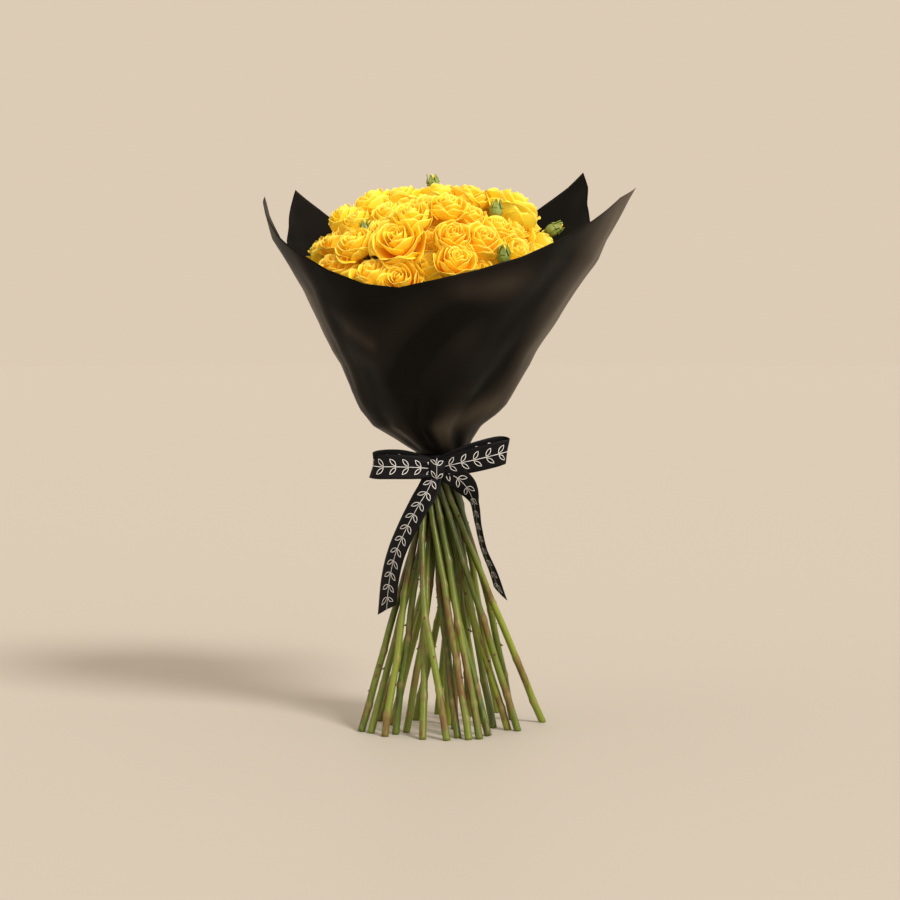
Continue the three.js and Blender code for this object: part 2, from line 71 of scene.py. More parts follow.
# The two blooms of each front spray: across, height, diameter, and how far the bloom is tipped upright.
FRONT_SPRAYS = [
    [[-126, 481, 33, 0.2], [-106, 498, 30, 0.3]],
    [[-106, 468, 38, 0.4], [-87, 489, 34, 0.3]],
    [[-71, 464, 39, 0.6], [-38, 457, 34, 0.3]],
    [[-49, 485, 42, 0.05], [-36, 507, 34, 0.2]],
    [[-17, 467, 37, 0.45], [-12, 494, 30, 0.2]],
    [[6, 470, 34, 0.4], [4, 493, 32, 0.1]],
    [[31, 467, 36, 0.15], [31, 488, 35, 0.2]],
    [[-83, 508, 34, 0.2], [-103, 516, 31, 0.1]],
    [[-80, 528, 34, 0.0], [-44, 534, 36, 0.0]],
    [[-59, 502, 31, 0.1], [-59, 519, 34, 0.0]],
    [[-20, 520, 41, 0.0], [5, 517, 32, 0.15]],
    [[27, 516, 38, 0.0], [14, 501, 27, 0.1]],
    [[23, 535, 35, 0.0], [-8, 538, 35, 0.0]],
    [[48, 502, 30, 0.2], [61, 484, 38, 0.0]],
    [[68, 524, 46, 0.0], [75, 497, 34, 0.0]],
    [[94, 494, 34, 0.0], [78, 474, 32, 0.3]],
]
# Rows round the back: height, number of blooms, first and last angle, diameter.
BACK_ROWS = [[470, 8, 14, 166, 40], [504, 6, 24, 158, 39], [528, 4, 34, 146, 40]]
# Closed buds: spray, place, and how far each leans right and back, in degrees.
BUDS = [
    [6, 48, -96, 476, 4, -14],
    [13, 44, -50, 518, 6, 0],
    [15, 108, 8, 501, 60, 0],
    [12, -14, 16, 549, -8, 0],
    [9, -76, -50, 528, -14, -6],
    [18, 24, 84, 520, 8, 26],
    [22, -58, 84, 516, -10, 30],
]
BUD_LENGTH, BUD_RADIUS, BUD_ROOM = 21.0, 6.2, 8.6
# Two buds sit deeper among the blooms than in the solids.
BUD_DROP = {9: 30, 12: 2}
SETTLE_ROUNDS, EASE_ROUNDS = 500, 350
PULL_HOME, PULL_HOME_DEEP, PUSH_APART = 0.12, 0.06, 0.3


def on_dome(p):
    """The place on the dome straight out from its middle through a point."""
    x, y, z = p[0] - DOME[0], p[1] - DOME[1], p[2] - DOME[2]
    k = 1 / math.hypot(x / DOME_WIDTH, y / DOME_WIDTH, z / DOME_HEIGHT)
    return [DOME[0] + x * k, DOME[1] + y * k, DOME[2] + z * k]


def dome_depth(x, z):
    """How far in front of its middle the dome's surface is."""
    left = 1 - ((x - DOME[0]) / DOME_WIDTH) ** 2 - ((z - DOME[2]) / DOME_HEIGHT) ** 2
    return DOME_WIDTH * math.sqrt(max(0.003, left))


def lay_out_heads():
    """All blooms and buds, each with its spray, centre, axis and radius."""
    heads = []
    for spray, pair in enumerate(FRONT_SPRAYS):
        for x, z, diameter, lift in pair:
            home = [x, DOME[1] - dome_depth(x, z), z]
            heads.append({"spray": spray, "home": home, "wanted": diameter / 2, "lift": lift})
    count = 0
    for z, number, start, end, diameter in BACK_ROWS:
        for i in range(number):
            angle = math.radians(mix(start, end, i / (number - 1)))
            out = DOME_WIDTH * math.sqrt(1 - ((z - DOME[2]) / DOME_HEIGHT) ** 2)
            home = [DOME[0] + out * math.cos(angle), DOME[1] + out * math.sin(angle), z]
            wanted = diameter / 2 * (0.94 + 0.1 * chance(count))
            spray = len(FRONT_SPRAYS) + count // 2
            heads.append({"spray": spray, "home": home, "wanted": wanted, "lift": 0.25, "back": True})
            count += 1
    for spray, x, y, z, right, back in BUDS:
        axis = unit([math.tan(math.radians(right)), math.tan(math.radians(back)), 1])
        heads.append({"spray": spray, "home": [x, y, z], "wanted": BUD_ROOM, "bud": True, "axis": axis})
    settle(heads)
    for head in heads:
        head["centre"] = np.array(head["centre"])
        if head.get("bud"):
            head["centre"] = head["centre"] - np.array([0, 0, BUD_DROP.get(head["spray"], 0)])
            continue
        axis = head["centre"] - DOME
        axis = unit([axis[0], axis[1], axis[2] * (DOME_WIDTH / DOME_HEIGHT) ** 2])
        head["axis"] = unit(axis * (1 - head["lift"]) + np.array([0, 0, 1]) * head["lift"])
    return heads


def settle(heads):
    """Moves the heads apart until they only touch, and gives each the radius it has room for."""
    n = len(heads)
    centre = [list(head["home"]) for head in heads]
    wanted = [head["wanted"] for head in heads]
    together = [
        [a["spray"] == b["spray"] and not a.get("bud") and not b.get("bud") for b in heads] for a in heads
    ]
    for turn in range(SETTLE_ROUNDS):
        ease = 1 if turn < EASE_ROUNDS else 0
        for head, c in zip(heads, centre):
            c[0] = mix(c[0], head["home"][0], PULL_HOME * ease)
            c[2] = mix(c[2], head["home"][2], PULL_HOME * ease)
            c[1] = mix(c[1], head["home"][1], PULL_HOME_DEEP * ease)
            if head.get("back"):
                c[:] = on_dome(c)
            c[2] = max(c[2], DOME[2] + 4)
        for i in range(n):
            a = centre[i]
            for j in range(i + 1, n):
                b = centre[j]
                x, y, z = b[0] - a[0], b[1] - a[1], b[2] - a[2]
                pair = together[i][j]
                need = TOUCH * (wanted[i] + wanted[j]) if pair else wanted[i] + wanted[j] + BLOOM_GAP
                square = x * x + y * y + z * z
                if square >= need * need and not pair:
                    continue
                length = math.sqrt(square)
                k = PUSH_APART * (need - length) / length
                a[0] -= x * k
                a[1] -= y * k
                a[2] -= z * k
                b[0] += x * k
                b[1] += y * k
                b[2] += z * k
    for i, head in enumerate(heads):
        head["centre"] = centre[i]
        room = [
            (math.dist(centre[i], centre[j]) - BLOOM_GAP) * wanted[i] / (wanted[i] + wanted[j])
            for j in range(n)
            if j != i and not together[i][j]
        ]
        head["radius"] = min(*room, 1.06 * wanted[i])


heads = lay_out_heads()
SPRAYS = [[head for head in heads if head["spray"] == spray] for spray in range(25)]

# ------------------------------------------------------------------ stems, hips, sepals and buds
# Green stems with red-brown patches, bare below the blooms, cut square at the foot and bound in a spiral.
# They follow the middle of their solids up to the fork, with knuckles and thorn stubs. Each stalk above the
# fork ends in a hip with five sepals under a bloom, or in a closed bud.

MM = 0.001
TIE = np.array([-5.5, 0.0, 264.0])
FORK_HEIGHT = 392.0


def smooth(x, low, high):
    t = np.clip((x - low) / (high - low), 0, 1)
    return t * t * (3 - 2 * t)


def look_up(rows, key, column=1):
    return np.interp(key, [r[0] for r in rows], [r[column] for r in rows])


def sides(axis):
    """Two directions that make a right-handed frame with an axis."""
    first = unit(np.array([1, 0.05, 0]) - axis * (axis[0] + 0.05 * axis[1]))
    return first, np.cross(axis, first)


class Parts:
    """Collects surfaces for one mesh: points, faces and values for each point."""

    def __init__(self):
        self.points, self.faces, self.values, self.count = [], [], {}, 0

    def add(self, points, faces, **values):
        points = np.asarray(points, float).reshape(-1, 3)
        self.points.append(points)
        self.faces.append(np.asarray(faces) + self.count)
        for key, value in values.items():
            filled = np.broadcast_to(np.asarray(value, float).reshape(-1), (len(points),))
            self.values.setdefault(key, []).append((self.count, filled))
        self.count += len(points)

    def make(self, name, material):
        """One mesh object. Values u and v become its UV map, and the others attributes of its points."""
        points = np.concatenate(self.points) * MM
        faces = [tuple(f) for block in self.faces for f in block.tolist()]
        faces = [f[:3] if f[3:] == (f[2],) else f for f in faces]
        mesh = bpy.data.meshes.new(name)
        mesh.from_pydata(points.tolist(), [], faces)
        mesh.shade_smooth()
        filled = {}
        for key, blocks in self.values.items():
            column = np.zeros(self.count, np.float32)
            for start, block in blocks:
                column[start : start + len(block)] = block
            filled[key] = column
            if key not in ("u", "v"):
                mesh.attributes.new(key, "FLOAT", "POINT").data.foreach_set("value", column)
        if "u" in filled:
            corners = np.zeros(len(mesh.loops), np.int32)
            mesh.loops.foreach_get("vertex_index", corners)
            flat = np.stack([filled["u"][corners], filled["v"][corners]], axis=1)
            mesh.uv_layers.new(name="UVMap").data.foreach_set("uv", flat.ravel())
        mesh.materials.append(material)
        made = bpy.data.objects.new(name, mesh)
        bpy.context.scene.collection.objects.link(made)
        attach(made, "root")
        return made


def grid_faces(rows, columns, start=0, flip=False, wrap=False):
    """Four-sided faces between the points of a grid. A wrapped grid's last column meets its first."""
    r = np.arange(rows - 1)[:, None]
    c = np.arange(columns if wrap else columns - 1)[None, :]
    a = start + r * columns + c
    b = start + r * columns + (c + 1) % columns
    quads = np.stack([a, b, b + columns, a + columns], axis=-1).reshape(-1, 4)
    return quads[:, ::-1] if flip else quads


def thin(parts, grid, thickness, **values):
    """A closed thin sheet round a grid of points, rows by columns."""
    rows, columns = grid.shape[:2]
    up = np.gradient(grid, axis=0)
    across = np.gradient(grid, axis=1)
    normal = np.cross(across, up)
    normal /= np.maximum(np.linalg.norm(normal, axis=2, keepdims=True), 1e-9)
    half = thickness / 2
    sides_of_sheet = [(grid + normal * half).reshape(-1, 3), (grid - normal * half).reshape(-1, 3)]
    back = rows * columns
    rim = list(range(columns - 1)) + [r * columns + columns - 1 for r in range(rows - 1)]
    rim += [(rows - 1) * columns + c for c in range(columns - 1, 0, -1)]
    rim += [r * columns for r in range(rows - 1, 0, -1)]
    rim = np.array(rim)
    following = np.roll(rim, -1)
    edge = np.stack([rim, back + rim, back + following, following], axis=1)
    faces = np.concatenate([grid_faces(rows, columns), grid_faces(rows, columns, back, True), edge])
    doubled = {}
    for key, value in values.items():
        doubled[key] = np.tile(np.broadcast_to(np.asarray(value, float), (rows, columns)).reshape(-1), 2)
    parts.add(np.concatenate(sides_of_sheet), faces, **doubled)


def end_faces(rows, count):
    """Faces from the first and the last ring of a tube to the two points that follow its rings."""
    i = np.arange(count)
    j = (i + 1) % count
    first, last = rows * count, (rows - 1) * count
    low = np.stack([j, i, np.full(count, first), np.full(count, first)], axis=1)
    high = np.stack([last + i, last + j, np.full(count, first + 1), np.full(count, first + 1)], axis=1)
    return np.concatenate([low, high])


def tube(parts, path, radii, count, **values):
    """A round tube along a path, with closed ends."""
    path = np.asarray(path, float)
    along = np.gradient(path, axis=0)
    rings = []
    for point, axis, radius in zip(path, along, np.broadcast_to(radii, (len(path),))):
        u, v = sides(unit(axis))
        angle = np.arange(count) * 2 * math.pi / count
        rings.append(point + radius * (np.cos(angle)[:, None] * u + np.sin(angle)[:, None] * v))
    points = np.concatenate([*rings, [path[0]], [path[-1]]])
    faces = np.concatenate([grid_faces(len(path), count, wrap=True), end_faces(len(path), count)])
    spread = {}
    for key, value in values.items():
        value = np.broadcast_to(np.asarray(value, float), (len(path),))
        spread[key] = np.concatenate([np.repeat(value, count), [value[0], value[-1]]])
    parts.add(points, faces, **spread)


class Shader:
    """A material, with short calls for the nodes of its tree."""

    def __init__(self, name):
        self.material = bpy.data.materials.new(name)
        self.material.use_nodes = True
        self.tree = self.material.node_tree
        self.principled = next(n for n in self.tree.nodes if n.type == "BSDF_PRINCIPLED")

    def node(self, kind, **settings):
        made = self.tree.nodes.new(kind)
        for key, value in settings.items():
            setattr(made, key, value)
        return made

    def put(self, socket, value):
        if hasattr(value, "links"):
            self.tree.links.new(value, socket)
        else:
            socket.default_value = value

    def math(self, operation, *values):
        made = self.node("ShaderNodeMath", operation=operation)
        for socket, value in zip(made.inputs, values):
            self.put(socket, value)
        return made.outputs[0]

    def plus(self, a, b):
        return self.math("ADD", a, b)

    def minus(self, a, b):
        return self.math("SUBTRACT", a, b)

    def times(self, a, b):
        return self.math("MULTIPLY", a, b)

    def attribute(self, name):
        return self.node("ShaderNodeAttribute", attribute_name=name).outputs["Fac"]

    def blend(self, factor, a, b):
        made = self.node("ShaderNodeMix", data_type="RGBA")
        self.put(made.inputs[0], factor)
        self.put(made.inputs[6], a if hasattr(a, "links") else (*a, 1))
        self.put(made.inputs[7], b if hasattr(b, "links") else (*b, 1))
        return made.outputs[2]

    def coats(self, colour, *coats):
        """A colour with tints over it, each with where it shows, how strong it is and its tone."""
        for where, strength, tone in coats:
            colour = self.blend(self.times(where, strength), colour, tone)
        return colour

    def noise(self, scale, detail=3, roughness=0.5, vector=None, stretch=None):
        if vector is None:
            vector = self.node("ShaderNodeTexCoord").outputs["Object"]
        if stretch is not None:
            mapping = self.node("ShaderNodeMapping")
            self.put(mapping.inputs["Vector"], vector)
            mapping.inputs["Scale"].default_value = stretch
            vector = mapping.outputs[0]
        made = self.node("ShaderNodeTexNoise")
        made.inputs["Scale"].default_value = scale
        made.inputs["Detail"].default_value = detail
        made.inputs["Roughness"].default_value = roughness
        self.put(made.inputs["Vector"], vector)
        return made.outputs["Fac"]

    def ramp(self, value, low, high):
        """Rises softly from 0 to 1 between two values."""
        made = self.node("ShaderNodeMapRange", interpolation_type="SMOOTHSTEP")
        self.put(made.inputs[0], value)
        made.inputs[1].default_value = low
        made.inputs[2].default_value = high
        return made.outputs[0]

    def bump(self, height, strength, distance):
        made = self.node("ShaderNodeBump")
        made.inputs["Strength"].default_value = strength
        made.inputs["Distance"].default_value = distance * MM
        self.put(made.inputs["Height"], height)
        self.put(self.principled.inputs["Normal"], made.outputs[0])

    def surface(self, **inputs):
        for key, value in inputs.items():
            socket = self.principled.inputs[key.replace("_", " ")]
            if isinstance(value, tuple) and socket.type == "RGBA":
                value = (*value, 1)
            self.put(socket, value)
        return self.material


green = Shader("rose_green")
patches = green.ramp(green.noise(46, 4, 0.62, stretch=(1, 1, 0.3)), 0.52, 0.60)
streaks = green.noise(420, 2, stretch=(1, 1, 0.06))
stem_colour = green.coats(
    green.blend(green.attribute("shade"), (0.022, 0.046, 0.004), (0.215, 0.262, 0.020)),
    (patches, 0.85, (0.135, 0.050, 0.018)),
    (green.ramp(streaks, 0.35, 0.75), 0.6, (0.150, 0.195, 0.020)),
    (green.attribute("knuckle"), 0.45, (0.240, 0.180, 0.060)),
    # Painted shade: the stems darken towards the tie, where the heads and the film shade them.
    (green.attribute("neck"), 1.0, (0.012, 0.022, 0.004)),
)
leaf_colour = green.blend(green.noise(260, 2), (0.130, 0.205, 0.026), (0.330, 0.400, 0.085))
colour = green.coats(
    green.blend(green.attribute("leafy"), stem_colour, leaf_colour),
    (green.attribute("thorn"), 1.0, (0.110, 0.045, 0.025)),
    (green.attribute("cut"), 1.0, (0.560, 0.570, 0.330)),
)
green.bump(green.plus(green.noise(900), green.times(streaks, 1.4)), 0.35, 0.35)
GREEN = green.surface(
    Base_Color=colour,
    Roughness=green.plus(0.32, green.times(patches, 0.25)),
    Specular_IOR_Level=0.45,
)

SEPALS, SEPAL_THICKNESS = 5, 0.5
STALK_RADII, STALK_SHADE = (1.9, 1.45), 0.6
# Outlines of the hip in millimetres, and of the closed bud in shares of its length and radius.
HIP_LENGTH = 7
HIP_SHAPE = [[-0.6, 1.35], [1.0, 1.7], [2.4, 2.7], [4.2, 3.3], [5.8, 3.0], [6.8, 2.5]]
BUD_SHAPE = [[0, 0.45], [0.1, 0.72], [0.3, 0.98], [0.5, 0.96], [0.72, 0.66], [0.88, 0.32], [1, 0.06]]
STEM_RADII = [[0, 3.5], [TIE[2], 2.8], [FORK_HEIGHT, 2.3]]
STEM_SCALE, KINK, TOP_KNUCKLE, TOP_THORN = 1.05, 1.5, 240, 235


def section(node, z):
    """Middle of a solid's outline at one height."""
    mesh = node.data
    points = np.zeros(len(mesh.vertices) * 3)
    mesh.vertices.foreach_get("co", points)
    points = points.reshape(-1, 3) / MM
    ends = np.zeros(len(mesh.edges) * 2, int)
    mesh.edges.foreach_get("vertices", ends)
    a, b = points[ends[0::2]], points[ends[1::2]]
    crossing = (a[:, 2] - z) * (b[:, 2] - z) < 0
    a, b = a[crossing], b[crossing]
    cut = a + (b - a) * ((z - a[:, 2]) / (b[:, 2] - a[:, 2]))[:, None]
    return (cut.min(axis=0) + cut.max(axis=0)) / 2


# The heights where a solid stem bends, each with how far its bend is rounded up and down.
BENDS = {140: 26, 250: 7, 279: 7, 307: 9}


def stem_path(node):
    """The stem's middle line, dense, with its bends rounded."""
    heights = [0.0, *BENDS, FORK_HEIGHT]
    cuts = [0.4, *(z - 0.1 for z in BENDS), FORK_HEIGHT - 0.4]
    at = [section(node, z) for z in cuts]
    zs = np.concatenate([np.arange(0, 250, 2.5), np.arange(250, FORK_HEIGHT, 4), [FORK_HEIGHT]])
    line = np.stack([np.interp(zs, heights, [p[k] for p in at]) for k in (0, 1)], axis=1)
    for z, reach in BENDS.items():
        near = np.abs(zs - z) < reach
        low = np.stack([np.interp(zs - reach, zs, line[:, k]) for k in (0, 1)], axis=1)
        high = np.stack([np.interp(zs + reach, zs, line[:, k]) for k in (0, 1)], axis=1)
        weight = 0.25 * (1 - (np.abs(zs - z) / reach) ** 2)[:, None]
        line[near] = (line + weight * (low + high - 2 * line))[near]
    return np.column_stack([line, zs])


def bezier(a, b, c, t):
    t = np.asarray(t)[..., None]
    return (1 - t) ** 2 * a + 2 * t * (1 - t) * b + t * t * c


def blade(parts, root, along, outward, length, width, bow, rng, start=0.5):
    """A pointed sepal: it leaves its root along one direction and bows towards another."""
    across = unit(np.cross(along, outward))
    s = np.linspace(0, 1, 9)[:, None]
    t = np.linspace(-1, 1, 5)[None, :]
    outline = (start + (1 - start) * np.sin(math.pi * np.clip(s * 1.6, 0, 1) / 2)) * (1 - s**2.2) ** 0.75
    wave = 0.05 * length * np.sin(5 * s + rng.random() * 6) * t
    grid = root + along * (length * (s - 0.12 * s**3))[..., None]
    grid = grid + outward * (bow * length * s**2)[..., None]
    grid = grid + across * (t * outline * width / 2)[..., None]
    grid = grid + outward * (wave + 0.08 * width * t**2)[..., None]
    thin(parts, grid, SEPAL_THICKNESS, leafy=1.0, shade=0.5)


def stalk(parts, fork, seat, axis):
    """A stalk from the fork that bends into its bloom's axis and ends in a hip."""
    hip = seat - HIP_LENGTH * axis
    bend = seat - axis * (0.4 * np.linalg.norm(seat - fork))
    path = bezier(fork, bend, hip, np.linspace(0, 1, 14))
    tube(parts, path, np.linspace(*STALK_RADII, 14), 8, shade=STALK_SHADE)
    centres = [hip + axis * height for height, _ in HIP_SHAPE]
    tube(parts, centres, [radius for _, radius in HIP_SHAPE], 10, shade=STALK_SHADE + 0.1, leafy=0.5)


def calyx(parts, seat, axis, radius, rng):
    """Sepals that spread out under a bloom, no two alike."""
    u, v = sides(axis)
    turn = rng.random() * 6
    for i in range(SEPALS):
        angle = turn + i * 2 * math.pi / SEPALS + rng.uniform(-0.12, 0.12)
        out = math.cos(angle) * u + math.sin(angle) * v
        along = unit(out * 0.9 + axis * 0.42)
        root = seat - 0.9 * axis + out * 1.3
        sag = unit(-axis + out * 0.15)
        length = radius * rng.uniform(0.75, 0.98)
        blade(parts, root, along, sag, length, radius * 0.3, rng.uniform(-0.1, 0.32), rng)


def bud(parts, yellow, seat, axis, rng):
    """A closed bud: five sepals folded round a pointed core, their tips standing off."""
    u, v = sides(axis)
    rows, columns = 13, 30
    s = np.linspace(0, 1, rows)[:, None]
    angle = np.linspace(0, 2 * math.pi, columns, endpoint=False)[None, :]
    body = 1.1 * BUD_RADIUS * look_up(BUD_SHAPE, s)
    groove = 1 - 0.14 * np.abs(np.cos(SEPALS / 2 * angle)) ** 10 * np.sin(math.pi * s)
    r = body * groove
    grid = seat + axis * (s * BUD_LENGTH * 0.86)[..., None]
    grid = grid + (r * np.cos(angle))[..., None] * u + (r * np.sin(angle))[..., None] * v
    ends = [seat, seat + axis * BUD_LENGTH * 0.87]
    faces = np.concatenate([grid_faces(rows, columns, wrap=True), end_faces(rows, columns)])
    parts.add(np.concatenate([grid.reshape(-1, 3), ends]), faces, leafy=1.0, shade=0.6)
    tip = seat + axis * BUD_LENGTH * 0.62
    core = bezier(tip, tip + axis * 3, tip + axis * 6.6, np.linspace(0, 1, 5))
    tube(yellow, core, [3.6, 3.2, 2.4, 1.5, 0.3], 8)
    for i in range(SEPALS):
        a = i * 2 * math.pi / SEPALS + math.pi / SEPALS + rng.uniform(-0.1, 0.1)
        out = math.cos(a) * u + math.sin(a) * v
        root = seat + axis * BUD_LENGTH * 0.5 + out * BUD_RADIUS * 0.98
        along = unit(axis - out * 0.42)
        length = 11 * rng.uniform(0.85, 1.15)
        blade(parts, root, along, out, length, 5.2, 0.6 * rng.uniform(0.05, 0.4), rng, start=0.9)


def stem(parts, path, rng):
    """A stem with knuckles and slight kinks, with painted shade darkening it towards the tie, and pale where
    its foot is cut.
    """
    z = path[:, 2]
    radius = look_up(STEM_RADII, z) * STEM_SCALE
    swell = np.zeros(len(z))
    level = rng.uniform(18, 50)
    while level < TOP_KNUCKLE:
        swell += np.exp(-(((z - level) / 3.0) ** 2)) - 0.25 * np.exp(-(((z - level - 4.5) / 2.0) ** 2))
        lean = rng.uniform(0, 2 * math.pi)
        kink = np.exp(-np.abs(z - level) / 18)
        path[:, 0] += KINK * kink * math.cos(lean)
        path[:, 1] += KINK * kink * math.sin(lean)
        level += rng.uniform(38, 78)
    # Painted shade that deepens up towards the tie, more on some stems than on others.
    neck = 0.92 * smooth(z, 95, 232) * rng.uniform(0.4, 1.0)
    shade = 0.2 + 0.75 * rng.random() + 0.12 * np.sin(z / 31 + rng.random() * 6)
    knuckle = np.clip(swell, 0, 1)
    tube(parts, path, radius * (1 + 0.12 * swell), 12, shade=shade, knuckle=knuckle, neck=neck)
    end = np.array([[*path[0, :2], 0.05], [*path[0, :2], 0]])
    tube(parts, end, [radius[0] * 0.93, radius[0] * 0.9], 12, cut=1.0)
    return radius


def thorns(parts, path, radius, rng):
    """Stubs of thorns that were stripped off."""
    for _ in range(rng.randint(3, 6)):
        k = int(np.searchsorted(path[:, 2], rng.uniform(25, TOP_THORN)))
        angle = rng.uniform(0, 2 * math.pi)
        out = np.array([math.cos(angle), math.sin(angle), 0])
        foot = path[k] + out * radius[k] * 0.85
        size = rng.uniform(0.7, 1.3)
        thorn = [foot, foot + out * 1.1 * size + [0, 0, -0.3], foot + out * 2.3 * size + [0, 0, -1.1]]
        tube(parts, thorn, [1.5 * size, 0.8 * size, 0.12], 6, thorn=1.0)


bud_tips = {}
for number, spray in enumerate(SPRAYS, 1):
    name = f"spray_{number:02d}"
    rng = random.Random(100 + number)
    parts = Parts()
    path = stem_path(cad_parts[f"{name}_stem"])
    radius = stem(parts, path, rng)
    thorns(parts, path, radius, rng)
    tips = Parts()
    for head in spray:
        axis = head["axis"]
        if head.get("bud"):
            seat = head["centre"] - axis * BUD_LENGTH / 2
            stalk(parts, path[-1], seat, axis)
            bud(parts, tips, seat, axis, rng)
        else:
            seat = head["centre"] + axis * (BLOOM_SEAT * head["radius"] - SEAT_GAP)
            stalk(parts, path[-1], seat, axis)
            calyx(parts, seat, axis, head["radius"], rng)
    for block in parts.points:
        block[:, 2] = np.maximum(block[:, 2], 0)  # a leaning foot doesn't reach below the floor
    made = parts.make(f"{name}_green", GREEN)
    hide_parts(f"{name}_stem")
    if tips.count:
        bud_tips[name] = tips

# ------------------------------------------------------------------ blooms
# Thin yellow petals that grow from the hip in six layers, turned on each other, from flared outer ones to a
# tight heart. Their colour runs from light yellow at the rims to an orange painted shade in the depth of the
# bloom, and they glow faintly with painted light. They reach a little past the solid blooms, so that
# neighbours close up.

petal = Shader("rose_petal")
uv = petal.node("ShaderNodeUVMap", uv_map="UVMap").outputs[0]
veins = petal.noise(1.0, 3, 0.55, uv, stretch=(26, 1.6, 1))
mottle = petal.noise(120)
colour = petal.coats(
    petal.blend(petal.attribute("tint"), (1.000, 0.530, 0.014), (1.000, 0.740, 0.046)),
    # Painted shade: orange deepening towards the petals' bases, in the depth of the bloom.
    (petal.ramp(petal.attribute("depth"), 0.34, 0.92), 1.0, (0.960, 0.285, 0.002)),
    (petal.ramp(petal.attribute("rim"), 0.91, 1.0), 0.6, (1.000, 0.780, 0.150)),
    (petal.ramp(veins, 0.45, 0.8), 0.14, (1.000, 0.440, 0.004)),
    (petal.ramp(mottle, 0.4, 0.8), 0.14, (1.000, 0.760, 0.090)),
)
petal.bump(petal.plus(veins, petal.times(mottle, 0.4)), 0.4, 0.25)
PETAL = petal.surface(
    Base_Color=colour,
    Roughness=0.5,
    Specular_IOR_Level=0.35,
    Subsurface_Weight=0.35,
    Subsurface_Radius=(1.0, 0.45, 0.05),
    Subsurface_Scale=0.004,
    # Painted light: the petals glow faintly in their own colour, standing in for light that passes through
    # them.
    Emission_Color=colour,
    Emission_Strength=0.06,
)

# Petals in the layer, radius and height of their tips, half their width in degrees, how far the rim rolls
# outward, and how far the corners fall below the tip. Lengths are in bloom radii.
LAYERS = [
    [5, 1.00, 0.02, 50, 0.20, 0.26],
    [5, 0.84, 0.26, 50, 0.22, 0.22],
    [4, 0.61, 0.38, 62, 0.17, 0.18],
    [4, 0.42, 0.44, 70, 0.11, 0.12],
    [3, 0.25, 0.46, 88, 0.06, 0.07],
    [2, 0.11, 0.44, 125, 0.02, 0.03],
]
ROWS, COLUMNS, PETAL_THICKNESS = 11, 12, 0.34
BLOOM_SCALE, DROP = 1.09, np.array([0, 0, -3.0])


def petal_grid(layer, azimuth, rng, open_by):
    """One petal in the bloom's own frame, with the values that its colour follows."""
    _, tip_radius, tip_height, half_width, roll, fall = LAYERS[layer]
    s = np.linspace(0, 1, ROWS)[:, None] ** 0.85
    t = np.linspace(-1, 1, COLUMNS)[None, :]
    across = np.abs(t)
    loose = max(0.2, 1 - layer / 5)
    openness = (open_by + rng.uniform(-0.09, 0.07)) * loose
    edge = s * (1 - 0.12 * across**3)
    base = np.array([0.1, -0.9 + 0.02 * layer])
    belly = np.array([tip_radius * 1.20 + 0.03, -0.70 + 0.12 * layer])
    tip = np.array([tip_radius + openness, tip_height - openness * 0.8 + rng.uniform(-0.08, 0.06) * loose])
    curve = bezier(base, belly, tip, edge)
    radius, height = curve[..., 0], curve[..., 1]
    curl = np.clip((edge - 0.62) / 0.38, 0, 1)
    lift = roll * rng.uniform(0.4, 1.6)
    side = rng.uniform(-0.7, 0.7)
    roll_here = 0.55 + 0.6 * across + side * t
    radius = radius + lift * curl**2 * roll_here
    height = height - 0.55 * lift * curl**3 * roll_here - fall * across**2.2 * s**2
    height = height + 0.11 * (1 - across) ** 1.6 * s**6
    radius = radius + (0.035 + 0.02 * (layer > 2)) * t * s
    phase, pace = rng.uniform(0, 6.28), rng.uniform(2.2, 6.0)
    radius = radius + 0.065 * loose * np.sin(pace * t + phase) * s**4
    height = height + 0.055 * loose * np.cos(1.5 * pace * t + phase) * s**4
    radius = radius + 0.03 * loose * np.sin(3.1 * s + 2.2 * t + phase) * s
    widen = 0.5 + 0.5 * np.sin(np.clip(s * 1.4, 0, 1) * math.pi / 2)
    angle = azimuth + t * math.radians(half_width * rng.uniform(0.85, 1.1)) * widen
    grid = np.stack([radius * np.cos(angle), radius * np.sin(angle), height + 0 * t], axis=-1)
    # How deep in the bloom each point lies, which sets the painted shade.
    depth_shade_value = np.clip((1 - edge) * 1.15 + 0.03 * layer * (1 - s), 0, 1)
    return grid, {"rim": edge + 0 * t, "depth": depth_shade_value, "u": 0.5 + 0.5 * t + 0 * s, "v": s + 0 * t}


# The inside of the film by height: its middle across and in depth, and how far it reaches each way.
FUNNEL = [
    [250, -5.5, 0, 22.7, 22.7],
    [277, -5.5, 0, 22.7, 22.7],
    [291, -12.5, 0, 35.5, 33],
    [305, -20, -1, 48.5, 47],
    [320, -18.5, -1, 59.5, 60],
    [345, -15.5, -2, 72, 80],
    [365, -13.5, -2, 83, 92],
    [380, -15, -3, 92, 101],
    [400, -14, -3, 103.5, 111],
    [440, -11.5, -4, 125.5, 128],
    [470, -8.5, -5, 147, 142],
    [490, -8.5, -6, 158, 148],
    [515, -5.5, -6, 167.5, 154],
    [530, -3, -6, 172, 156],
    [545, 0, -6, 177.5, 158],
    [570, 1, -6, 180, 160],
]
# How far petals stay inside the film.
FILM_GAP = 4.5


def inside_film(points):
    """Petals that would reach through the film lie against its inside."""
    mid_x, mid_y, width, deep = (look_up(FUNNEL, points[..., 2], k) for k in (1, 2, 3, 4))
    away = np.hypot((points[..., 0] - mid_x) / width, (points[..., 1] - mid_y) / deep)
    pull = np.minimum(1, (1 - FILM_GAP / width) / np.maximum(away, 1e-6))
    inside = points.copy()
    inside[..., 0] = mid_x + (points[..., 0] - mid_x) * pull
    inside[..., 1] = mid_y + (points[..., 1] - mid_y) * pull
    return inside


